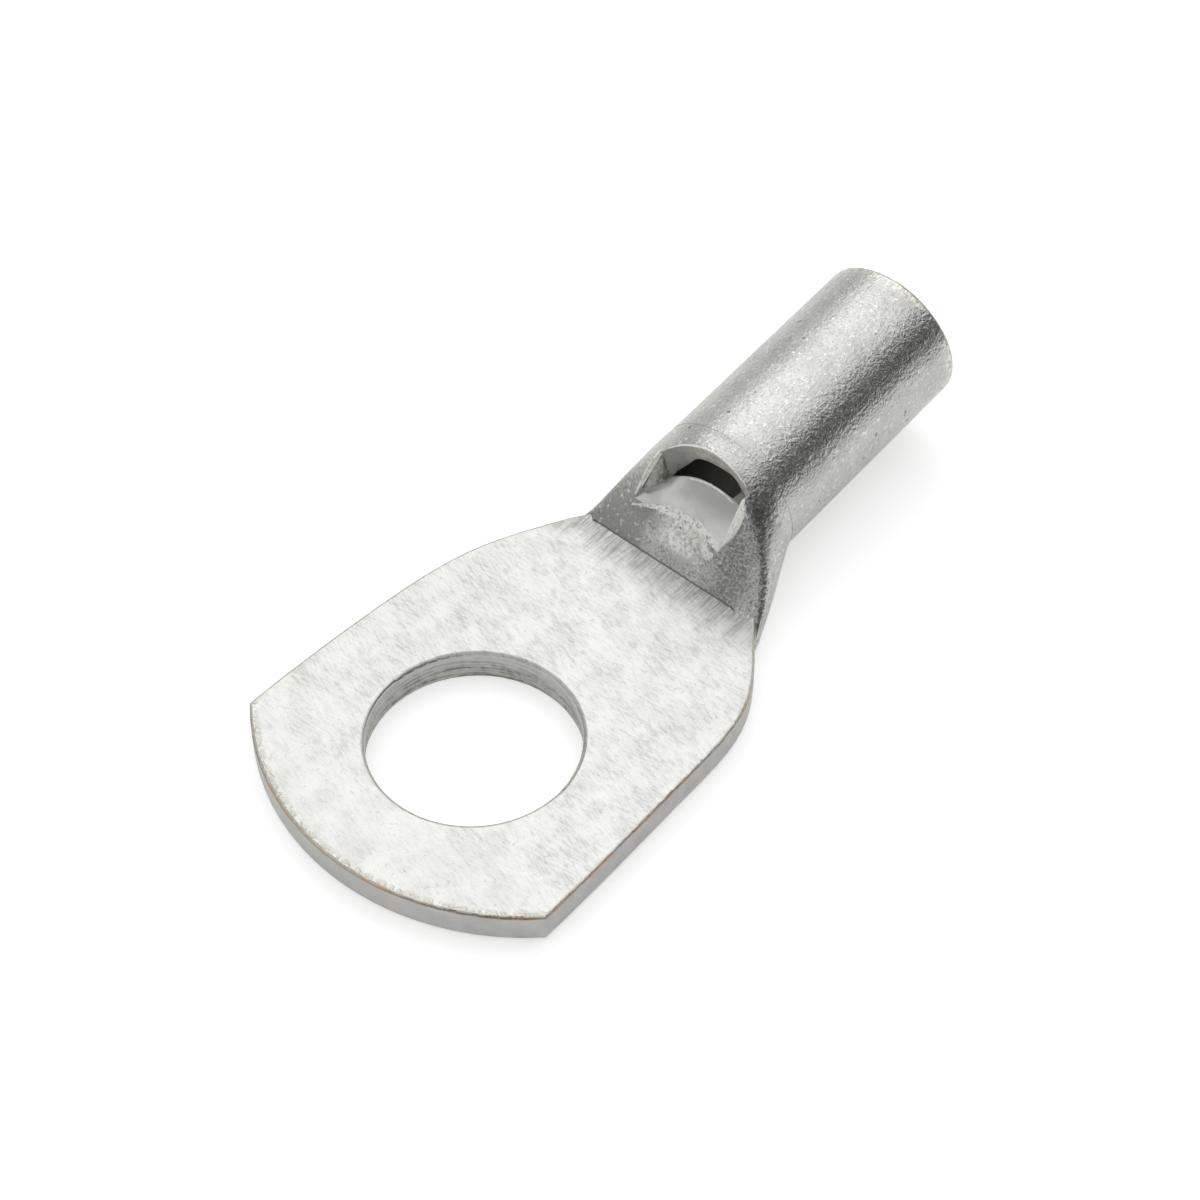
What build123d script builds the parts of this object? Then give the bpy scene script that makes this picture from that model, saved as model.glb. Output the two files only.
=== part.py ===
from build123d import *
from math import cos, pi, radians, sin, tan
import os

# A tube cable lug: one length of soft copper tube, pressed flat and punched at one end.
# Frame: origin on the stud hole's axis at the palm's underside, +X along the lug towards
# the wire, +Z up through the hole. Millimetres.

# Palm. The side points are (x, how far inside the full half width), from tip to neck.
PALM_THICKNESS = 0.94
PALM_WIDTH = 9.54
TIP_REACH = 4.75
TIP_RADIUS = 6.7
LEFT_SIDE = ((1.5, 0.18), (4.6, 0.72), (6.3, 1.5))
RIGHT_SIDE = ((2.6, 0.18), (5.1, 0.56), (6.2, 1.24))
NECK_X = 7.0
NECK_WIDTH = 5.98
PLATE_NECK_INSET = 0.12
PLATE_END_X = 7.6
PLATE_END_INSET = 0.35
UPPER_EDGE_RADIUS = 0.07
LOWER_EDGE_RADIUS = 0.24

# Stud hole, punched from above
HOLE_DIAMETER = 5.2
HOLE_ROLLOVER = 0.1
HOLE_BREAKOUT = 0.06
HOLE_BREAKOUT_DEPTH = 0.35

# Barrel, tilted up a little from the palm. Its heel is where it leaves the flat underside.
BARREL_DIAMETER = 4.08
BORE_DIAMETER = 2.58
BARREL_TILT = 6.2
HEEL_X = 10.0
BARREL_LENGTH = 6.05
FLARE_LENGTH = 0.55
MOUTH_EDGE_RADIUS = 0.1
BORE_START = 0.12
HOLLOW_ROOT_WIDTH = 2.06
HOLLOW_SQUARENESS = 2.4

# The bore's end at the window is pinched out of round. Its points are (across, up) from the
# barrel's axis. It holds this shape for the pinch length, then runs out to the round bore, which
# starts with a small step.
PINCH_LENGTH = 0.4
PINCH_RUNOUT = 0.5
PINCH_STEP = 0.03
PINCHED_BORE = (
    (1.27, 0.0),
    (1.15, 0.4),
    (0.8, 0.88),
    (0.44, 1.36),
    (-0.16, 1.45),
    (-0.74, 1.43),
    (-0.93, 1.0),
    (-1.06, 0.4),
    (-1.1, -0.4),
    (-0.7, -1.06),
    (0.0, -1.27),
    (0.7, -1.06),
    (1.12, -0.57),
)

# Ramp from the palm to the barrel. Each station is its share of the run and of the rise, and
# how square the section's shoulders are there: 2 is round.
RAMP_START_X = 6.1
RAMP_STATIONS = (
    (0.0, -0.03, 3.2),
    (0.15, 0.0, 3.2),
    (0.29, 0.035, 3.2),
    (0.37, 0.105, 3.2),
    (0.47, 0.265, 3.0),
    (0.59, 0.63, 2.15),
    (0.7, 0.91, 1.82),
    (0.84, 0.972, 1.9),
)
ROUND_SQUARENESS = 1.92
FLAT_SQUARENESS = 4.42
WAIST_DROP = 1.5
UNDERSIDE_PRESS = 0.03
SECTION_POINTS = 24

# Mark left by the press at the foot of the ramp
PRESS_EDGE_X = 7.15
PRESS_WIDTH = 6.2
PRESS_OFFSET = 0.25
PRESS_CORNER_RADIUS = 1.1
PRESS_DRAFT = 20.0

# Window sheared in the top of the ramp, and the tongue pressed down in it. Its far end is an
# arc that leans back. Each station is x, the (y, z) points of the tongue's upper face from left
# to right, and the heights at which the window's left and right edges begin to roll over.
WINDOW_END_X = 8.64
WINDOW_END_SLANT = 15.0
WINDOW_END_RADIUS = 3.0
WINDOW_END_SHIFT = -0.2
WINDOW_STATIONS = (
    (7.67, ((1.69, 1.76), (0.8, 1.83), (0.0, 1.87), (-1.04, 1.76)), (1.79, 1.79)),
    (7.95, ((1.56, 1.95), (0.78, 2.09), (0.05, 2.15), (-1.1, 2.02)), (2.15, 2.17)),
    (8.45, ((1.32, 2.16), (0.5, 2.83), (0.12, 3.01), (-1.18, 2.86)), (3.18, 3.16)),
)
LEFT_EDGE_ROLL = 0.09
RIGHT_EDGE_ROLL = 0.3
TONGUE_THICKNESS = 0.6

# Overlap of joined solids, and a length past the part's own
SEAM = 0.008
SPACE = 20.0


def barrel_plane(distance):
    """Section plane across the barrel, at a distance along its axis from the heel."""
    tilt = radians(BARREL_TILT)
    axis = Vector(cos(tilt), 0, sin(tilt))
    heel = Vector(HEEL_X, 0, BARREL_DIAMETER / 2)
    return Plane(origin=heel + axis * distance, x_dir=(0, 1, 0), z_dir=axis)


def flare_half_width(x):
    """Half width of the pressed tube, which narrows evenly from the neck to the barrel."""
    radius = BARREL_DIAMETER / 2
    start = barrel_plane(-FLARE_LENGTH).origin.X
    return radius + (NECK_WIDTH / 2 - radius) * (start - x) / (start - NECK_X)


def palm_side(corner, points, hand):
    """One curved side of the palm, from the tip's corner to the neck."""
    through = [Vector(x, hand * (PALM_WIDTH / 2 - inset)) for x, inset in points]
    neck = Vector(NECK_X, hand * (NECK_WIDTH / 2 - PLATE_NECK_INSET))
    end = Vector(PLATE_END_X, hand * (flare_half_width(PLATE_END_X) - PLATE_END_INSET))
    slopes = [Vector(1, 0), end - neck]
    return Edge.make_spline([Vector(corner.X, hand * corner.Y)] + through + [neck, end], tangents=slopes)


def palm_plate():
    half = PALM_WIDTH / 2
    corner_x = TIP_RADIUS - TIP_REACH - (TIP_RADIUS ** 2 - half ** 2) ** 0.5
    corner = Vector(corner_x, half)
    left = palm_side(corner, LEFT_SIDE, 1)
    right = palm_side(corner, RIGHT_SIDE, -1)
    tip = Edge.make_three_point_arc(corner, Vector(-TIP_REACH, 0), Vector(corner.X, -half))
    neck = Edge.make_line(left @ 1, right @ 1)
    plate = extrude(make_face(Wire([left, neck, right, tip])), PALM_THICKNESS, dir=(0, 0, 1))
    for height, radius in ((0.0, LOWER_EDGE_RADIUS), (PALM_THICKNESS, UPPER_EDGE_RADIUS)):
        level = plate.edges().filter_by_position(Axis.Z, height, height)
        rim = [edge for edge in level if edge.center().X < PLATE_END_X - SEAM]
        plate = fillet(rim, radius)
    return plate


def smooth_face(points):
    return make_face(Wire([Edge.make_spline(points, periodic=True)]))


def pressed_section(x, low, high, waist, half_width, foot, shoulder):
    """Section of the pressed tube, widest at the waist, with its own squareness below and above."""
    points = []
    for i in range(SECTION_POINTS):
        angle = 2 * pi * i / SECTION_POINTS
        c, s = cos(angle), sin(angle)
        squareness = shoulder if s > 0 else foot
        across = half_width * abs(c) ** (2 / squareness)
        reach = high - waist if s > 0 else waist - low
        up = reach * abs(s) ** (2 / squareness)
        points.append(Vector(x, across if c > 0 else -across, waist + (up if s > 0 else -up)))
    return smooth_face(points)


def on_plane(plane, points):
    return smooth_face([plane.from_local_coords(Vector(y, z, 0)) for y, z in points])


def round_section(plane, radius):
    """Circle through the same number of points as a pressed section."""
    angles = [2 * pi * i / SECTION_POINTS for i in range(SECTION_POINTS)]
    return on_plane(plane, [(radius * cos(a), radius * sin(a)) for a in angles])


def pressed_tube():
    """The stretch between palm and barrel, from a flat section to a round one."""
    radius = BARREL_DIAMETER / 2
    start = barrel_plane(-FLARE_LENGTH).origin
    run = start.X - RAMP_START_X
    rise = start.Z + radius - PALM_THICKNESS
    sections = []
    for along, up, shoulder in RAMP_STATIONS:
        x = RAMP_START_X + run * along
        flare = min(1, (start.X - x) / (start.X - NECK_X))
        waist = PALM_THICKNESS / 2 + (radius - PALM_THICKNESS / 2) * (1 - flare) ** WAIST_DROP
        foot = ROUND_SQUARENESS + (FLAT_SQUARENESS - ROUND_SQUARENESS) * flare ** 2
        high = PALM_THICKNESS + rise * up
        half_width = flare_half_width(max(x, NECK_X))
        sections.append(pressed_section(x, -UNDERSIDE_PRESS, high, waist, half_width, foot, shoulder))
    for distance in (-FLARE_LENGTH, -FLARE_LENGTH / 2):
        sections.append(round_section(barrel_plane(distance), radius - SEAM))
    return loft(sections)


def barrel():
    length = FLARE_LENGTH + BARREL_LENGTH
    solid = extrude(barrel_plane(-FLARE_LENGTH) * Circle(BARREL_DIAMETER / 2), length)
    mouth = solid.edges().sort_by(Axis.X)[-1]
    return fillet(mouth, MOUTH_EDGE_RADIUS)


def press_mark():
    """What the press takes off the foot of the ramp: a drafted block with round corners."""
    length = 2 * (PRESS_EDGE_X - RAMP_START_X) + 2 * PRESS_CORNER_RADIUS
    outline = RectangleRounded(length, PRESS_WIDTH, PRESS_CORNER_RADIUS)
    place = Pos(PRESS_EDGE_X - length / 2, PRESS_OFFSET, PALM_THICKNESS)
    return extrude(place * outline, BARREL_DIAMETER / 2, taper=-PRESS_DRAFT)


def pinched_entry(start, straight):
    """The bore's end at the window, out of round from the press, running out to the round bore."""
    radius = BORE_DIAMETER / 2 - PINCH_STEP
    round_end = []
    for y, z in PINCHED_BORE:
        distance = (y ** 2 + z ** 2) ** 0.5
        round_end.append((radius * y / distance, radius * z / distance))
    stations = ((start, PINCHED_BORE), (start + PINCH_LENGTH, PINCHED_BORE), (straight, round_end))
    return loft([on_plane(barrel_plane(s), points) for s, points in stations], ruled=True)


def bore():
    """The wire's bore, pinched at the window, and the hollow under the tongue."""
    radius = BORE_DIAMETER / 2
    root_x, root, _ = WINDOW_STATIONS[0]
    tip_x, tip, _ = WINDOW_STATIONS[-1]
    root_height = root[1][1]
    tip_height = tip[1][1]
    start = (tip_x + BORE_START - HEEL_X) / cos(radians(BARREL_TILT))
    straight = start + PINCH_LENGTH + PINCH_RUNOUT
    hole = extrude(barrel_plane(straight) * Circle(radius), BARREL_LENGTH - straight + SPACE)
    hole += pinched_entry(start, straight + SEAM)

    slope = (tip_height - root_height) / (tip_x - root_x)
    roof = tip_height - TONGUE_THICKNESS * (1 + slope ** 2) ** 0.5
    floor = barrel_plane(start).origin.Z - radius
    middle = PALM_THICKNESS / 2
    deep_x = tip_x + (BARREL_DIAMETER - BORE_DIAMETER) / 4
    square = HOLLOW_SQUARENESS
    deep = pressed_section(deep_x, floor, roof, (floor + roof) / 2, radius - SEAM, square, square)
    shut = pressed_section(root_x, middle - SEAM, middle + SEAM, middle, HOLLOW_ROOT_WIDTH / 2, square, square)
    return hole + loft([shut, deep], ruled=True)


def window_profile(x, points, roll_heights):
    """Section of the window across the lug, open at the top, with the tongue as its floor."""
    floor = [Vector(x, y, z) for y, z in points]
    left, right = floor[0].Y, floor[-1].Y
    left_roll, right_roll = roll_heights
    top = 2 * BARREL_DIAMETER
    rim = [
        (right, points[-1][1]),
        (right, right_roll),
        (right - RIGHT_EDGE_ROLL, right_roll + RIGHT_EDGE_ROLL),
        (right - RIGHT_EDGE_ROLL, top),
        (left + LEFT_EDGE_ROLL, top),
        (left + LEFT_EDGE_ROLL, left_roll + LEFT_EDGE_ROLL),
        (left, left_roll),
        (left, points[0][1]),
    ]
    edges = Wire.make_polygon([Vector(x, y, z) for y, z in rim], close=False).edges()
    return make_face(Wire([Edge.make_spline(floor)] + list(edges)))


def window():
    """The opening above the tongue, up to the sheared end of the barrel wall."""
    profiles = [window_profile(x, points, heights) for x, points, heights in WINDOW_STATIONS]
    beyond = extrude(profiles[-1], BARREL_DIAMETER, dir=(1, 0, 0))
    crown = barrel_plane(WINDOW_END_X - HEEL_X).origin.Z + BARREL_DIAMETER / 2
    slant = radians(WINDOW_END_SLANT)
    middle = Vector(WINDOW_END_X - WINDOW_END_RADIUS / cos(slant), WINDOW_END_SHIFT, crown)
    end = Plane(origin=middle, z_dir=(-tan(slant), 0, 1))
    keep = extrude(end * Circle(WINDOW_END_RADIUS), SPACE / 2, both=True)
    return (loft(profiles, ruled=True) + beyond) & keep


def stud_hole():
    """The punched hole: rolled over at the top edge, broken out at the underside."""
    radius = HOLE_DIAMETER / 2
    broken = radius + HOLE_BREAKOUT
    outline = Polyline(
        (0, -SPACE), (broken, -SPACE), (broken, 0), (radius, HOLE_BREAKOUT_DEPTH), (radius, SPACE), (0, SPACE), close=True
    )
    return revolve(Plane.XZ * make_face(outline), Axis.Z)


def lug():
    outer = pressed_tube() + barrel()
    outer = outer - Pos(0, 0, -SPACE / 2) * Box(4 * SPACE, SPACE, SPACE)
    outer = outer - press_mark()
    body = outer + palm_plate()
    body = body - bore() - window() - stud_hole()
    rim = body.edges().filter_by(GeomType.CIRCLE).filter_by_position(Axis.Z, PALM_THICKNESS, PALM_THICKNESS)
    rim = [e for e in rim if abs(e.radius - HOLE_DIAMETER / 2) < SEAM]
    return fillet(rim, HOLE_ROLLOVER)


def main():
    os.makedirs("parts", exist_ok=True)
    export_step(lug(), "parts/lug.step")


if __name__ == "__main__":
    main()
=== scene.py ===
"""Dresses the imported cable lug: its finishes, the press's burrs, the stage, light and camera."""

import math
from collections import namedtuple

import bmesh
import bpy
from mathutils import Euler, Matrix, Vector
from mathutils.bvhtree import BVHTree

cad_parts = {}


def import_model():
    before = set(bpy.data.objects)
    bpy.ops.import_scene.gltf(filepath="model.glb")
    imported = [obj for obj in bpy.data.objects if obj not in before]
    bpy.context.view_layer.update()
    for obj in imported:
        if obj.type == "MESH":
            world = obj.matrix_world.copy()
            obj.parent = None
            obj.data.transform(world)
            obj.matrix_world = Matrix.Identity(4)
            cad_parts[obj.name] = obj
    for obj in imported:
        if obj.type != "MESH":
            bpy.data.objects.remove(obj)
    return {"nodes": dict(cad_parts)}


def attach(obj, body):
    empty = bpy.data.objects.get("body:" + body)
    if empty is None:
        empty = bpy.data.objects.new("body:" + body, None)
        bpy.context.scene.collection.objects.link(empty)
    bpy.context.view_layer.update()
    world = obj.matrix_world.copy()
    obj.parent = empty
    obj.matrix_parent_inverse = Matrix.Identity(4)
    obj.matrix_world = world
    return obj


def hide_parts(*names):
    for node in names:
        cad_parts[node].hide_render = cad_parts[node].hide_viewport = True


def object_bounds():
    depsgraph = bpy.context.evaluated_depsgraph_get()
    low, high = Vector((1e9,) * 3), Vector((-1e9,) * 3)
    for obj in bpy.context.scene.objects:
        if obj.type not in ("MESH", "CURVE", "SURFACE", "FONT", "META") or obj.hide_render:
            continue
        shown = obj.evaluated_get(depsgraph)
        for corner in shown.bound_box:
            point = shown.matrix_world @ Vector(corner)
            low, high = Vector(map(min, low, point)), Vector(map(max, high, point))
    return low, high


MM = 0.001
DOWN = Vector((0.0, 0.0, -1.0))
WELD = 0.0001

# Places on the part that the finishes and small shapes follow, in millimetres in its own frame
PALM_TOP = 0.94
BARREL_TILT = math.radians(6.2)
BARREL_START = Vector((9.45, 0.0, 1.98))
BARREL_AXIS = Vector((math.cos(BARREL_TILT), 0.0, math.sin(BARREL_TILT)))
MOUTH = 16.21
HOLE_REACH = 2.8
BORE_REACH = 1.7

# The palm's tip is an arc about a point on the x axis
TIP_CENTRE = 1.95
TIP_RADIUS = 6.7

# The ramp rises from the crease, and the plain solid has a low step there
CREASE_X = 7.15
RAMP_FOOT_X = 7.11
RAMP_SLOPE = 1.425
RAMP_NORMAL = Vector((-RAMP_SLOPE, 0.0, 1.0)).normalized()
STEP_LEAD = 0.03
STEP_RUN = 0.09
STEP_RIGHT = -2.35
STEP_LEFT = 2.55
STEP_TOP = 1.3
STEP_SLACK = 0.005
STEP_WALL_SLACK = 0.01
CREASE_WIDTH = 0.02

# Span of x over which the neck's normals turn into the barrel's, from this far off the axis
JOINT_START = 8.9
JOINT_EASED = 9.4
JOINT_END = 9.8
JOINT_SKIN = 1.8

# The tongue's ridge is the curve x = RIDGE_X - RIDGE_BEND * y ** 2, and the left lip of the
# window lies on the plane z = SLIT_TOP + SLIT_SLOPE * x
RIDGE_X = 7.965
RIDGE_BEND = 0.13
SLIT_SLOPE = 2.313
SLIT_TOP = -16.24

# Limits that tell the faces of the solid apart
WINDOW_START = 7.65
WINDOW_END = 8.95
TONGUE_END = 8.9
HOLLOW_START = 7.6
HOLLOW_END = 9.0
HOLLOW_TOP = 1.65
MOUTH_FACE_X = 15.75
RIM_END = 7.6
RIM_LOW = 0.8
SIDE_END = 7.4
SIDE_TOP = 0.9
UNDER_RIM_TOP = 0.3

# Burrs, each a smooth line through a few (x, y) points
RIDGE_LINE = (
    (7.66, 1.68),
    (7.76, 1.155),
    (7.85, 0.774),
    (7.94, 0.332),
    (7.978, 0.045),
    (7.95, -0.235),
    (7.88, -0.42),
)
CURLED_LINE = ((7.87, -0.47), (7.75, -0.56), (7.64, -0.7), (7.585, -0.86), (7.64, -1.0))
NICK_LINE = ((8.34, -1.2), (8.3, -1.36), (8.27, -1.54))
LIP_LINE = ((8.42, 0.62), (8.42, 0.1), (8.42, -0.45), (8.41, -0.95))
LEFT_LINE = ((7.8, 1.69), (7.95, 1.63), (8.12, 1.565), (8.302, 1.48), (8.42, 1.41), (8.47, 1.37))
RIGHT_LINE = ((8.38, -1.36), (8.18, -1.4), (7.98, -1.33), (7.8, -1.13), (7.7, -1.05))
FAR_EDGE_SLICES = 9
FAR_EDGE_SHIFT = 0.03

# Rings along a burr, and its section, as (sideways, up) in shares of its half width and rise
BURR_STEPS = 36
NICK_STEPS = 12
BURR_SECTION = ((-1.0, -0.35), (-0.75, 0.35), (-0.2, 1.0), (0.35, 0.8), (0.85, 0.25), (1.0, -0.35))

# Heights from which the burrs' lines are dropped: above the part, and inside the window
ABOVE_PART = 6.0
IN_WINDOW = 3.2

# Palette of the finishes, as linear colours
TIN = (0.67, 0.675, 0.645)
TIN_PLAIN = (0.6, 0.605, 0.575)
TIN_BRIGHT = (0.82, 0.82, 0.78)
# glints and highlights painted into the colour
TIN_GLINT = (0.97, 0.97, 0.92)
TIN_DULL = (0.45, 0.45, 0.43)
TIN_DARK = (0.2, 0.2, 0.19)
TIN_CUT = (0.56, 0.555, 0.53)
COPPER_WARM = (0.5, 0.29, 0.15)
WALL_BEIGE = (0.86, 0.83, 0.73)
# pale lips: partly worn tin, partly painted highlight where the lips catch the light
LIP_PALE = (0.97, 0.968, 0.92)
RIM_BEIGE = (0.6, 0.53, 0.42)
RIM_BROWN = (0.3, 0.25, 0.19)
# painted shadow of the slit beside the window's left lip
SLIT_SHADOW_DARK = (0.05, 0.05, 0.045)
BORE_GREY = (0.42, 0.42, 0.38)
FLOOR_WHITE = (0.86, 0.86, 0.86)
CARD_GREY = (0.12, 0.12, 0.12)

# Stage, in metres: the floor, the grey card and the point that the lights face
FLOOR_SIZE = (3.0, 3.0)
CARD_SIZE = (0.7, 0.27)
CARD_CENTRE = (0.08, -0.26, 0.145)
PART_MIDDLE = Vector((6.0 * MM, 0.0, 0.0))
LIGHT_DISTANCE = 0.5

# Light of the surround, and of the floor as the camera and as reflections see it
WORLD_LIGHT = 0.62
FLOOR_SEEN = 0.5
FLOOR_REFLECTED = 0.3

# Camera: its place in millimetres, its turn in degrees, and its focal length in the photo's pixels
CAMERA_PLACE = Vector((-30.3909, -30.8424, 55.1195))
CAMERA_TURN = (41.22724, 0.19613, -48.7862)
FOCAL_PIXELS = 2920.51
PHOTO_PIXELS = 1200.0
SENSOR_WIDTH = 36.0


# Node tools


def new_material(name):
    material = bpy.data.materials.new(name)
    material.use_nodes = True
    material.node_tree.nodes.clear()
    return material, material.node_tree


def node(tree, kind, **settings):
    made = tree.nodes.new(kind)
    for key, value in settings.items():
        setattr(made, key, value)
    return made


def feed(tree, socket, value):
    """Set a socket to a number or a colour, or link it to another socket."""
    if isinstance(value, bpy.types.NodeSocket):
        tree.links.new(value, socket)
    elif isinstance(value, tuple):
        socket.default_value = (*value, 1.0)
    else:
        socket.default_value = value


def calc(tree, operation, *values):
    made = node(tree, "ShaderNodeMath", operation=operation)
    for socket, value in zip(made.inputs, values):
        feed(tree, socket, value)
    return made.outputs[0]


def product(tree, *values):
    result = values[0]
    for value in values[1:]:
        result = calc(tree, "MULTIPLY", result, value)
    return result


def total(tree, *pairs):
    """Sum of sockets, each with its own weight."""
    added = 0.0
    for value, weight in pairs:
        added = calc(tree, "MULTIPLY_ADD", value, weight, added)
    return added


def band(tree, value, low, high, start=0.0, end=1.0):
    """Smooth change from start to end as the value goes from low to high, rising or falling."""
    made = node(tree, "ShaderNodeMapRange", interpolation_type="SMOOTHSTEP")
    settings = {"Value": value, "From Min": low, "From Max": high, "To Min": start, "To Max": end}
    for name, setting in settings.items():
        feed(tree, made.inputs[name], setting)
    return made.outputs["Result"]


def zone(tree, value, low, high, start=0.0, end=1.0):
    """A band between two places on the part, in millimetres."""
    return band(tree, value, low * MM, high * MM, start, end)


def stretched(tree, coordinates, scale, turn=0.0):
    """Coordinates turned about Z, then scaled: a small scale draws a pattern out on its axis."""
    turned = node(tree, "ShaderNodeMapping")
    feed(tree, turned.inputs["Vector"], coordinates)
    turned.inputs["Rotation"].default_value = (0.0, 0.0, math.radians(turn))
    made = node(tree, "ShaderNodeMapping")
    feed(tree, made.inputs["Vector"], turned.outputs["Vector"])
    made.inputs["Scale"].default_value = scale
    return made.outputs["Vector"]


def noise(tree, vector, scale=1.0, detail=2.0, roughness=0.55):
    """Noise of a scale in cycles per metre, or of 1.0 where the coordinates are stretched."""
    made = node(tree, "ShaderNodeTexNoise")
    settings = {"Vector": vector, "Scale": scale, "Detail": detail, "Roughness": roughness}
    for name, setting in settings.items():
        feed(tree, made.inputs[name], setting)
    return made.outputs["Fac"]


def blend(tree, amount, first, second):
    made = node(tree, "ShaderNodeMix", data_type="RGBA")
    sockets = {s.name: s for s in made.inputs if s.enabled}
    for name, value in (("Factor", amount), ("A", first), ("B", second)):
        feed(tree, sockets[name], value)
    return next(s for s in made.outputs if s.enabled)


def layered(tree, base, *layers):
    """Base colour with more colours over it, each by its own amount."""
    for amount, colour in layers:
        base = blend(tree, amount, base, colour)
    return base


Places = namedtuple("Places", "point along across height")


def places(tree):
    """Object coordinates, together and each by itself."""
    point = node(tree, "ShaderNodeTexCoord").outputs["Object"]
    split = node(tree, "ShaderNodeSeparateXYZ")
    feed(tree, split.inputs[0], point)
    return Places(point, *split.outputs)


def surfaced(tree, shader):
    """Give the tree's material this shader."""
    output = node(tree, "ShaderNodeOutputMaterial")
    feed(tree, output.inputs["Surface"], shader.outputs[0])


def metal(tree, colour, roughness, relief, depth, metallic=1.0):
    """Finish the tree as bare metal, with a fine relief as deep as given, in millimetres."""
    shader = node(tree, "ShaderNodeBsdfPrincipled")
    shader.inputs["Metallic"].default_value = metallic
    feed(tree, shader.inputs["Base Color"], colour)
    feed(tree, shader.inputs["Roughness"], roughness)
    bump = node(tree, "ShaderNodeBump")
    bump.inputs["Strength"].default_value = 1.0
    bump.inputs["Distance"].default_value = depth * MM
    feed(tree, bump.inputs["Height"], relief)
    feed(tree, shader.inputs["Normal"], bump.outputs["Normal"])
    surfaced(tree, shader)


def copper_gaps(tree, at):
    """Gaps along the palm's rims where the tin has worn through to copper."""
    return band(tree, noise(tree, at.point, 900.0, 4.0, 0.65), 0.44, 0.54)


# Finishes


def blasted_tin():
    """Grainy tin on the barrel, the neck and the ramp, with a few small pits; painted glints over
    it, a painted highlight in the middle of the ramp, and painted shade on the ramp's left, along
    the right shoulder, in the crease and in the pits.
    """
    material, tree = new_material("blasted_tin")
    at = places(tree)
    fine = noise(tree, at.point, 14000.0, 3.0, 0.7)
    coarse = noise(tree, at.point, 8500.0, 2.0, 0.6)
    lumps = noise(tree, at.point, 2000.0, 1.0, 0.5)
    patches = noise(tree, at.point, 900.0, 3.0, 0.6)
    pits = band(tree, noise(tree, at.point, 5200.0, 0.0), 0.83, 0.86)

    on_ramp = zone(tree, at.along, 8.4, 7.9)
    spot = calc(tree, "MULTIPLY_ADD", patches, 0.9 * MM, at.across)
    # painted shade: a darker patch on the left of the ramp
    left_ramp_shade = product(tree, on_ramp, zone(tree, spot, 1.15, 1.7), 0.6)
    ramp_grain = product(tree, on_ramp, band(tree, fine, 0.5, 0.36, 0.0, 0.6))
    # painted highlight: bright glints in the middle of the ramp, below the ridge
    ramp_highlight = product(
        tree,
        on_ramp,
        zone(tree, spot, -0.5, 0.3),
        zone(tree, spot, 1.35, 0.75),
        zone(tree, at.along, 7.3, 7.5),
        band(tree, coarse, 0.4, 0.6, 0.3, 1.0),
    )
    # painted shade: the dark band of reflection along the right shoulder
    right_shoulder_shade = product(
        tree,
        zone(tree, at.along, 9.3, 8.3),
        zone(tree, spot, -0.2, -1.2),
        zone(tree, spot, -1.8, -1.3),
        band(tree, fine, 0.62, 0.45, 0.3, 1.0),
        0.8,
    )
    # painted shade in the crease at the ramp's foot
    crease_shade = product(
        tree,
        zone(tree, at.height, 0.995, 0.955),
        zone(tree, at.along, 7.0, 7.1),
        zone(tree, at.along, 7.3, 7.2),
        zone(tree, at.across, -2.3, -1.9),
    )
    along_barrel = total(tree, (at.along, BARREL_AXIS.x), (at.height, BARREL_AXIS.z))
    worn_mouth = product(
        tree,
        zone(tree, along_barrel, MOUTH - 0.45, MOUTH - 0.15),
        band(tree, coarse, 0.42, 0.6),
        0.8,
    )
    mouth_edge = zone(tree, along_barrel, MOUTH - 0.1, MOUTH - 0.04, 0.0, 0.7)

    colour = layered(
        tree,
        TIN_PLAIN,
        (band(tree, patches, 0.42, 0.66, 0.0, 0.5), TIN_DULL),
        (left_ramp_shade, TIN_DARK),
        (band(tree, fine, 0.52, 0.34, 0.0, 0.9), TIN_DULL),
        # painted glints scattered over the grain
        (band(tree, coarse, 0.58, 0.72, 0.0, 0.6), TIN_GLINT),
        (ramp_grain, TIN_DARK),
        (right_shoulder_shade, TIN_DARK),
        (worn_mouth, WALL_BEIGE),
        (mouth_edge, RIM_BROWN),
        (ramp_highlight, TIN_GLINT),
        # painted shade in the small pits
        (product(tree, pits, 0.8), TIN_DARK),
        (crease_shade, TIN_DARK),
    )
    roughness = band(tree, patches, 0.3, 0.7, 0.18, 0.25)
    relief = total(tree, (fine, 1.0), (coarse, 1.2), (lumps, 0.6), (pits, -1.0))
    metal(tree, colour, roughness, relief, 0.0155)
    return material


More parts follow.
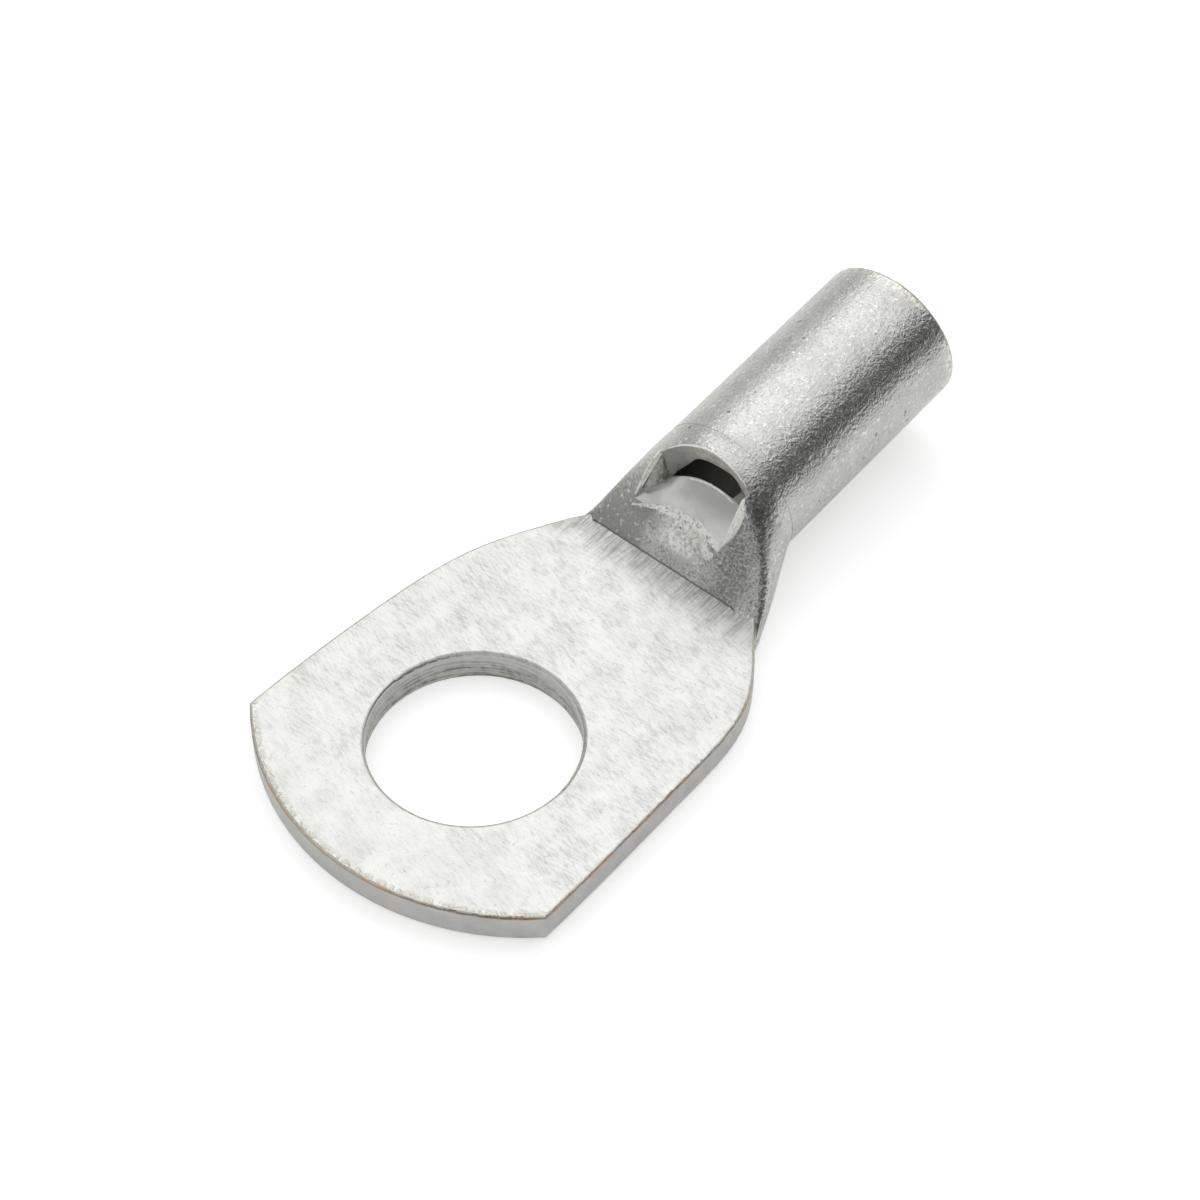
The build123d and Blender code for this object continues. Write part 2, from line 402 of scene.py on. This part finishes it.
def brushed_tin():
    """Bright palm, rubbed by fine scratches, with dark drag marks next to the crease."""
    material, tree = new_material("brushed_tin")
    at = places(tree)
    rubbed_way = stretched(tree, at.point, (17000.0, 2600.0, 2600.0), turn=20.0)
    crossed_way = stretched(tree, at.point, (15000.0, 2200.0, 2200.0), turn=-8.0)
    rubbed = noise(tree, rubbed_way, 1.0, 4.0, 0.7)
    crossed = noise(tree, crossed_way, 1.0, 3.0, 0.65)
    speckle = noise(tree, at.point, 8000.0, 3.0, 0.7)
    cloud = noise(tree, at.point, 1300.0, 3.0, 0.6)

    lines = total(tree, (rubbed, 0.55), (crossed, 0.45))
    scratched = product(
        tree,
        band(tree, lines, 0.56, 0.36),
        band(tree, cloud, 0.35, 0.65, 0.45, 0.85),
        zone(tree, at.along, -4.0, -1.0, 0.45, 1.0),
    )

    drags = noise(tree, stretched(tree, at.point, (1900.0, 24000.0, 1500.0)), 1.0, 3.0, 0.6)
    drag_reach = noise(tree, stretched(tree, at.point, (600.0, 3500.0, 600.0)), 1.0, 3.0)
    uneven_edge = calc(tree, "MULTIPLY_ADD", drag_reach, 1.5 * MM, at.along)
    dragged = product(
        tree, zone(tree, uneven_edge, 6.65, 7.8), zone(tree, at.height, 0.5, 0.8)
    )

    from_centre = calc(tree, "ADD", at.along, -TIP_CENTRE * MM)
    squares = [calc(tree, "POWER", length, 2.0) for length in (from_centre, at.across)]
    radius = calc(tree, "SQRT", total(tree, *((square, 1.0) for square in squares)))
    tip_edge = product(
        tree,
        zone(tree, radius, TIP_RADIUS - 0.26, TIP_RADIUS - 0.06),
        zone(tree, at.along, -1.5, -2.5),
        band(tree, noise(tree, at.point, 5200.0, 3.0), 0.42, 0.58),
    )

    colour = layered(
        tree,
        TIN,
        (scratched, TIN_DULL),
        (product(tree, band(tree, speckle, 0.42, 0.28), 0.7), TIN_DULL),
        (product(tree, dragged, band(tree, drags, 0.62, 0.36, 0.32, 0.78)), TIN_DARK),
        (product(tree, tip_edge, 0.6), RIM_BEIGE),
    )
    drag_lines = product(tree, drags, dragged)
    relief = total(tree, (lines, 1.0), (speckle, 0.4), (drag_lines, 1.2), (tip_edge, -1.5))
    metal(tree, colour, band(tree, cloud, 0.3, 0.7, 0.34, 0.42), relief, 0.009)
    return material


def worn_rim():
    """Rounded rims of the palm: tin worn through to a thin, broken line of copper, with a painted
    shadow darkening their lower edge.
    """
    material, tree = new_material("worn_rim")
    at = places(tree)
    speckle = noise(tree, at.point, 6500.0, 3.0, 0.6)
    low = zone(tree, at.height, 0.915, 0.895)
    worn = product(tree, copper_gaps(tree, at), low, zone(tree, at.along, 6.6, 5.8), 0.9)
    colour = layered(
        tree,
        TIN,
        (band(tree, speckle, 0.42, 0.58, 0.0, 0.8), RIM_BEIGE),
        # painted shadow along the rim's lower edge
        (product(tree, low, 0.7), TIN_DARK),
        (worn, COPPER_WARM),
    )
    metal(tree, colour, 0.4, speckle, 0.03)
    return material


def sheared_tin():
    """Punched sides of the palm, with faint upright shear marks and copper along their top."""
    material, tree = new_material("sheared_tin")
    at = places(tree)
    upright = noise(tree, stretched(tree, at.point, (7000.0, 7000.0, 700.0)), 1.0, 3.0, 0.6)
    cloud = noise(tree, at.point, 1500.0, 4.0, 0.6)
    top_line = product(tree, copper_gaps(tree, at), zone(tree, at.height, 0.845, 0.862), 0.8)
    colour = layered(
        tree,
        TIN_CUT,
        (band(tree, cloud, 0.35, 0.7, 0.0, 0.6), TIN_DULL),
        (top_line, COPPER_WARM),
    )
    metal(tree, colour, 0.42, total(tree, (upright, 0.8), (cloud, 0.5)), 0.012)
    return material


def punched_wall():
    """Wall of the stud hole, dragged round in level lines by the punch."""
    material, tree = new_material("punched_wall")
    at = places(tree)
    rings = noise(tree, stretched(tree, at.point, (420.0, 420.0, 16000.0)), 1.0, 3.0, 0.65)
    broken = noise(tree, at.point, 5200.0, 3.0, 0.6)
    lines = total(tree, (rings, 0.7), (broken, 0.3))
    deep = zone(tree, at.height, 0.75, 0.35, 0.35, 1.0)
    colour = blend(tree, product(tree, band(tree, lines, 0.55, 0.4), deep), TIN_CUT, TIN_DARK)
    metal(tree, colour, 0.4, lines, 0.02)
    return material


def drawn_tin():
    """Smooth tongue, pressed down by a polished tool, with painted shade across its middle and
    mottled with painted highlights on the ramp's side of its ridge.
    """
    material, tree = new_material("drawn_tin")
    at = places(tree)
    drawn = noise(tree, stretched(tree, at.point, (1500.0, 6500.0, 1500.0)), 1.0, 3.0, 0.6)
    cloud = noise(tree, at.point, 1800.0, 2.0, 0.5)
    grain = noise(tree, at.point, 13000.0, 3.0, 0.65)

    square = calc(tree, "POWER", at.across, 2.0)
    ridge = calc(tree, "MULTIPLY_ADD", square, RIDGE_BEND / MM, at.along)
    below = zone(tree, ridge, RIDGE_X + 0.02, RIDGE_X - 0.05)
    # painted highlights: glints on the ramp's side of the ridge, brightest near it
    near_ridge = zone(tree, ridge, RIDGE_X - 0.3, RIDGE_X - 0.1, 0.6, 1.0)
    ridge_glints = product(tree, band(tree, grain, 0.34, 0.54), near_ridge)
    # painted shade: a darker band across the middle of the tongue
    middle = product(
        tree, zone(tree, at.height, 2.1, 2.8), zone(tree, at.across, 1.0, 0.2), 0.95
    )

    colour = layered(
        tree,
        TIN_BRIGHT,
        (middle, TIN_DULL),
        (band(tree, cloud, 0.45, 0.75, 0.0, 0.4), TIN_DULL),
        (below, blend(tree, ridge_glints, TIN_DULL, TIN_GLINT)),
    )
    ridge_grain = product(tree, grain, below)
    relief = total(tree, (drawn, 0.4), (cloud, 0.8), (ridge_grain, 1.6))
    metal(tree, colour, 0.33, relief, 0.012)
    return material


def cut_wall():
    """Sheared end of the barrel wall at the window and at the mouth: matt, slightly warm."""
    material, tree = new_material("cut_wall")
    at = places(tree)
    torn = noise(tree, at.point, 5200.0, 3.0, 0.6)
    left = product(tree, zone(tree, at.across, 0.1, 1.0), zone(tree, at.along, 10.0, 9.5), 0.8)
    colour = layered(
        tree,
        WALL_BEIGE,
        (band(tree, torn, 0.42, 0.64, 0.0, 0.7), TIN_DULL),
        (left, TIN_DULL),
    )
    metal(tree, colour, 0.5, torn, 0.03, metallic=0.3)
    return material


def slit_side():
    """Steep side of the window on the left, rough and mottled where it tore, with a painted shadow
    of the slit just below the lip.
    """
    material, tree = new_material("slit_side")
    at = places(tree)
    torn = noise(tree, at.point, 7000.0, 3.0, 0.6)
    above_slope = calc(tree, "MULTIPLY_ADD", at.along, -SLIT_SLOPE, at.height)
    # painted shadow: a dark band along the slit just below the left lip
    slit_shadow = zone(tree, above_slope, SLIT_TOP - 0.13, SLIT_TOP - 0.06)
    face = blend(tree, band(tree, torn, 0.35, 0.65), TIN_BRIGHT, TIN_DULL)
    metal(tree, blend(tree, slit_shadow, face, SLIT_SHADOW_DARK), 0.55, torn, 0.03)
    return material


def rolled_lip():
    """Lips along the window's sides: bright worn tin, made paler still as a painted highlight where
    they catch the light.
    """
    material, tree = new_material("rolled_lip")
    at = places(tree)
    worn = noise(tree, at.point, 6000.0, 2.0, 0.5)
    specks = noise(tree, at.point, 14000.0, 2.0, 0.6)
    colour = layered(
        tree,
        LIP_PALE,
        (band(tree, worn, 0.48, 0.75), WALL_BEIGE),
        (band(tree, specks, 0.54, 0.68, 0.0, 0.7), TIN_DULL),
    )
    metal(tree, colour, 0.45, worn, 0.012, metallic=0.4)
    return material


def bore_inside():
    """Dull inside of the bore and the neck, paler towards the mouth."""
    material, tree = new_material("bore_inside")
    at = places(tree)
    dust = noise(tree, at.point, 2500.0, 4.0, 0.6)
    dusty = blend(tree, dust, BORE_GREY, TIN_CUT)
    at_mouth = zone(tree, at.along, 13.5, 15.9, 0.0, 0.7)
    metal(tree, blend(tree, at_mouth, dusty, TIN_CUT), 0.45, dust, 0.02)
    return material


def floor_finish():
    """Pale floor, white to the camera and in reflections, which keeps the shadow."""
    material, tree = new_material("pale_floor")
    paths = node(tree, "ShaderNodeLightPath").outputs
    reflected = calc(tree, "MAXIMUM", paths["Is Glossy Ray"], paths["Is Transmission Ray"])
    strength = total(tree, (paths["Is Camera Ray"], FLOOR_SEEN), (reflected, FLOOR_REFLECTED))
    plain = node(tree, "ShaderNodeBsdfDiffuse")
    feed(tree, plain.inputs["Color"], FLOOR_WHITE)
    glow = node(tree, "ShaderNodeEmission")
    feed(tree, glow.inputs["Strength"], strength)
    both = node(tree, "ShaderNodeAddShader")
    for socket, shader in zip(both.inputs, (plain, glow)):
        feed(tree, socket, shader.outputs[0])
    surfaced(tree, both)
    return material


def card_finish():
    """Matt grey of the card that the barrel mirrors."""
    material, tree = new_material("grey_card")
    plain = node(tree, "ShaderNodeBsdfDiffuse")
    feed(tree, plain.inputs["Color"], CARD_GREY)
    surfaced(tree, plain)
    return material


# Finishes of the part's own faces, in the order of its mesh's slots
FINISHES = (
    blasted_tin,
    brushed_tin,
    worn_rim,
    sheared_tin,
    punched_wall,
    drawn_tin,
    cut_wall,
    slit_side,
    rolled_lip,
    bore_inside,
)


# Part


def add_object(name, data):
    made = bpy.data.objects.new(name, data)
    bpy.context.scene.collection.objects.link(made)
    return made


def islands(mesh):
    """Groups of faces that share vertices: one group for each face of the solid."""
    leader = list(range(len(mesh.vertices)))

    def find(index):
        while leader[index] != index:
            leader[index] = leader[leader[index]]
            index = leader[index]
        return index

    for face in mesh.polygons:
        first = find(face.vertices[0])
        for other in face.vertices[1:]:
            leader[find(other)] = first
    groups = {}
    for face in mesh.polygons:
        groups.setdefault(find(face.vertices[0]), []).append(face)
    return groups.values()


def off_axis(point):
    """Vector from the barrel's axis to a point, in millimetres."""
    from_start = point - BARREL_START
    return from_start - BARREL_AXIS * from_start.dot(BARREL_AXIS)


def finish_of(points, facing):
    """Finish for one face of the solid, from its points in millimetres and its mean normal."""
    low = Vector([min(p[i] for p in points) for i in range(3)])
    high = Vector([max(p[i] for p in points) for i in range(3)])
    near_hole = max(p.xy.length for p in points) < HOLE_REACH
    near_axis = max(off_axis(p).length for p in points) < BORE_REACH
    in_window = low.x > WINDOW_START and high.x < WINDOW_END
    past_palm = low.x > HOLLOW_START
    in_hollow = past_palm and high.x < HOLLOW_END and high.z < HOLLOW_TOP
    to_palm = facing.x < -0.9
    to_mouth = facing.x > 0.9
    floor_like = facing.z > 0.5 and facing.x < 0.1 and -0.6 < facing.y < 0.69
    torn_side = facing.y < -0.6 and facing.z < 0.2
    level = abs(facing.z) > 0.99
    upright = abs(facing.z) < 0.1

    if in_window and high.x < TONGUE_END and floor_like:
        return drawn_tin
    if past_palm and near_axis or in_hollow:
        return bore_inside
    if in_window and torn_side:
        return slit_side
    if in_window:
        return cut_wall if to_palm else rolled_lip
    if low.x > MOUTH_FACE_X and to_mouth:
        return cut_wall
    if near_hole and high.z < SIDE_TOP:
        return punched_wall
    if level:
        return brushed_tin
    if high.x < RIM_END and low.z > RIM_LOW and not to_palm:
        return brushed_tin if near_hole else worn_rim
    if high.x < SIDE_END and high.z < SIDE_TOP and (upright or high.z < UNDER_RIM_TOP):
        return sheared_tin
    return blasted_tin


def assign_finishes(mesh):
    mesh.materials.clear()
    for finish in FINISHES:
        mesh.materials.append(finish())
    for faces in islands(mesh):
        points = [mesh.vertices[v].co / MM for face in faces for v in face.vertices]
        facing = sum((face.normal * face.area for face in faces), Vector())
        facing /= sum(face.area for face in faces)
        index = FINISHES.index(finish_of(points, facing))
        for face in faces:
            face.material_index = index


def smooth_step(value, low, high):
    share = min(1.0, max(0.0, (value - low) / (high - low)))
    return share * share * (3.0 - 2.0 * share)


def settled(point):
    """A point of the step at the ramp's foot, moved so that ramp and palm meet in a thin crease."""
    x, y, z = point / MM
    along_step = CREASE_X - STEP_LEAD < x < CREASE_X + STEP_RUN and STEP_RIGHT < y < STEP_LEFT
    if not along_step or not PALM_TOP - STEP_SLACK < z < STEP_TOP:
        return point
    if z >= PALM_TOP + STEP_SLACK:
        return Vector((x, y, PALM_TOP + RAMP_SLOPE * (x - RAMP_FOOT_X))) * MM
    if x < CREASE_X + CREASE_WIDTH:
        return Vector((RAMP_FOOT_X + x - CREASE_X, y, z)) * MM
    return point


def on_step(face):
    """True for the upright faces of the step at the ramp's foot."""
    middle = face.calc_center_median() / MM
    near_crease = CREASE_X - STEP_WALL_SLACK < middle.x < CREASE_X + STEP_RUN
    above_palm = middle.z > PALM_TOP + STEP_WALL_SLACK
    return near_crease and above_palm and face.normal.x < -0.9


def eased(point, normal):
    """Normal near the joint of ramp and barrel, turned to that of a plain barrel there."""
    x = point.x / MM
    out = off_axis(point / MM)
    if not JOINT_START <= x <= JOINT_END or out.length < JOINT_SKIN:
        return normal
    share = smooth_step(x, JOINT_START, JOINT_EASED)
    return normal.lerp(out.normalized(), share).normalized()


def dressed_lug(source):
    """Copy of the plain solid's mesh, merged, with its crease settled and its own normals kept."""
    mesh = source.data.copy()
    mesh.name = "lug_body"
    assign_finishes(mesh)
    normals = [corner.vector.copy() for corner in mesh.corner_normals]

    shape = bmesh.new()
    shape.from_mesh(mesh)
    kept = shape.loops.layers.float_vector.new("kept_normal")
    for face in shape.faces:
        for loop in face.loops:
            loop[kept] = normals[loop.index]
    bmesh.ops.remove_doubles(shape, verts=shape.verts, dist=WELD * MM)
    for face in shape.faces:
        ramped = on_step(face)
        for loop in face.loops:
            loop[kept] = RAMP_NORMAL if ramped else eased(loop.vert.co, loop[kept])
    for vert in shape.verts:
        vert.co = settled(vert.co)
    shape.to_mesh(mesh)
    shape.free()

    mesh.update()
    attribute = mesh.attributes["kept_normal"]
    normals = [item.vector.copy() for item in attribute.data]
    mesh.attributes.remove(attribute)
    mesh.polygons.foreach_set("use_smooth", [True] * len(mesh.polygons))
    mesh.normals_split_custom_set(normals)
    body = add_object("lug_body", mesh)
    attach(body, "root")
    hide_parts("lug")
    return body


def through(points, count):
    """Evenly stepped smooth line through a few points in plan, by the Catmull-Rom rule."""
    last = len(points) - 1
    line = []
    for step in range(count + 1):
        place = step / count * last
        start = min(int(place), last - 1)
        t = place - start
        near = [Vector(points[min(max(start + k, 0), last)]) for k in (-1, 0, 1, 2)]
        a, b, c, d = near
        squared = (2 * a - 5 * b + 4 * c - d) * t ** 2
        cubed = (3 * b - a - 3 * c + d) * t ** 3
        line.append(0.5 * (2 * b + (c - a) * t + squared + cubed))
    return line


def burr_size(step, count):
    """Share of a burr's full size at one of its steps: a little uneven, tapered at its ends."""
    taper = math.sin(math.pi * (0.04 + 0.92 * step / count)) ** 0.6
    uneven = 1.0 + 0.16 * math.sin(2.1 * step) + 0.1 * math.sin(5.3 * step + 1.0)
    return taper * uneven


def raised_line(name, surface, points, width, rise, finish, count=BURR_STEPS, top=ABOVE_PART):
    """Low bead of metal along a line in plan, lying on the surface below it."""
    shape = bmesh.new()
    rings = []
    line = through(points, count)
    for i, spot in enumerate(line):
        here, normal, _, _ = surface.ray_cast(Vector((*spot, top)) * MM, DOWN)
        run = (line[min(i + 1, count)] - line[max(i - 1, 0)]).to_3d()
        run = (run - normal * run.dot(normal)).normalized()
        side = normal.cross(run)
        size = burr_size(i, count) * MM
        half = 0.5 * width * size
        crown = rise * size
        ring = [here + side * half * u + normal * crown * v for u, v in BURR_SECTION]
        rings.append([shape.verts.new(corner) for corner in ring])
    for ring, following in zip(rings, rings[1:]):
        for k in range(len(ring)):
            n = (k + 1) % len(ring)
            shape.faces.new((ring[k], ring[n], following[n], following[k]))
    shape.faces.new(rings[0][::-1])
    shape.faces.new(rings[-1])
    bmesh.ops.recalc_face_normals(shape, faces=shape.faces)

    mesh = bpy.data.meshes.new(name)
    shape.to_mesh(mesh)
    shape.free()
    mesh.polygons.foreach_set("use_smooth", [True] * len(mesh.polygons))
    mesh.materials.append(finish)
    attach(add_object(name, mesh), "root")


def far_edge(mesh):
    """Upper edge of the window's far wall, as a few (x, y) points from right to left."""
    index = FINISHES.index(cut_wall)
    corners = {v for face in mesh.polygons if face.material_index == index for v in face.vertices}
    points = [mesh.vertices[v].co / MM for v in corners]
    points = [p for p in points if p.x < HOLLOW_END]
    right = min(p.y for p in points)
    width = max(p.y for p in points) - right
    slices = {}
    for p in points:
        slot = min(int((p.y - right) / width * FAR_EDGE_SLICES), FAR_EDGE_SLICES - 1)
        slices.setdefault(slot, []).append(p)
    highest = [max(slices[slot], key=lambda p: p.z) for slot in sorted(slices)]
    return [(p.x + FAR_EDGE_SHIFT, p.y) for p in highest]


def press_burrs(body):
    """Thin burrs that the press raised round the tongue, with their widths and rises."""
    surface = BVHTree.FromObject(body, bpy.context.evaluated_depsgraph_get())
    lip = rolled_lip()
    raised_line("tongue_ridge", surface, RIDGE_LINE, 0.2, 0.02, drawn_tin())
    raised_line("curled_burr", surface, CURLED_LINE, 0.36, 0.032, lip)
    raised_line("side_nick", surface, NICK_LINE, 0.07, 0.03, lip, count=NICK_STEPS)
    raised_line("tongue_lip", surface, LIP_LINE, 0.08, 0.025, lip, top=IN_WINDOW)
    raised_line("far_lip", surface, far_edge(body.data), 0.07, 0.012, lip)
    raised_line("left_lip", surface, LEFT_LINE, 0.13, 0.018, lip)
    raised_line("right_lip", surface, RIGHT_LINE, 0.14, 0.025, lip)


# Scene


def place_camera():
    """Camera at the photograph's own place, turned the same way."""
    data = bpy.data.cameras.new("camera")
    data.sensor_width = SENSOR_WIDTH
    data.lens = FOCAL_PIXELS / PHOTO_PIXELS * SENSOR_WIDTH
    data.clip_start = 0.001
    data.clip_end = 10.0
    camera = add_object("camera", data)
    turn = Euler([math.radians(angle) for angle in CAMERA_TURN])
    camera.matrix_world = Matrix.LocRotScale(CAMERA_PLACE * MM, turn, None)
    bpy.context.scene.camera = camera


def area_light(name, direction, size, watts):
    """Rectangular soft light in a direction from the middle of the part, facing it."""
    data = bpy.data.lights.new(name, "AREA")
    data.shape = "RECTANGLE"
    data.size, data.size_y = size
    data.energy = watts
    lamp = add_object(name, data)
    out = Vector(direction).normalized()
    lamp.location = out * LIGHT_DISTANCE + PART_MIDDLE
    lamp.rotation_mode = "QUATERNION"
    lamp.rotation_quaternion = out.to_track_quat("Z", "Y")


def flat_sheet(name, size, finish, centre, turn=0.0):
    """Square-cornered sheet of the stage, flat or stood up about X."""
    shape = bmesh.new()
    bmesh.ops.create_grid(shape, x_segments=1, y_segments=1, size=0.5)
    bmesh.ops.scale(shape, vec=(*size, 1.0), verts=shape.verts)
    tipped = Matrix.Rotation(math.radians(turn), 3, "X")
    bmesh.ops.rotate(shape, cent=(0.0, 0.0, 0.0), matrix=tipped, verts=shape.verts)
    bmesh.ops.translate(shape, vec=centre, verts=shape.verts)
    mesh = bpy.data.meshes.new(name)
    shape.to_mesh(mesh)
    shape.free()
    mesh.materials.append(finish)
    sheet = add_object(name, mesh)
    return sheet


def build_world():
    """Even pale surround."""
    world = bpy.data.worlds.new("studio")
    world.use_nodes = True
    glow = world.node_tree.nodes["Background"]
    glow.inputs["Color"].default_value = (1.0, 1.0, 1.0, 1.0)
    glow.inputs["Strength"].default_value = WORLD_LIGHT
    bpy.context.scene.world = world


def build_stage(floor_height):
    """Floor, a card that the camera doesn't see, the surround and two soft lights."""
    flat_sheet("floor", FLOOR_SIZE, floor_finish(), (0.0, 0.0, floor_height))
    card = flat_sheet("grey_card", CARD_SIZE, card_finish(), CARD_CENTRE, turn=90.0)
    card.visible_camera = False
    build_world()
    area_light("key", direction=(0.42, 0.48, 0.78), size=(0.32, 0.3), watts=0.31)
    area_light("overhead", direction=(0.3, -0.1, 0.95), size=(0.4, 0.5), watts=0.4)


def main():
    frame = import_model()
    cad_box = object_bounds()

    body = dressed_lug(frame["nodes"]["lug"])
    press_burrs(body)
    build_stage(cad_box[0].z)
    place_camera()
    bpy.context.scene.view_settings.view_transform = "Standard"


main()
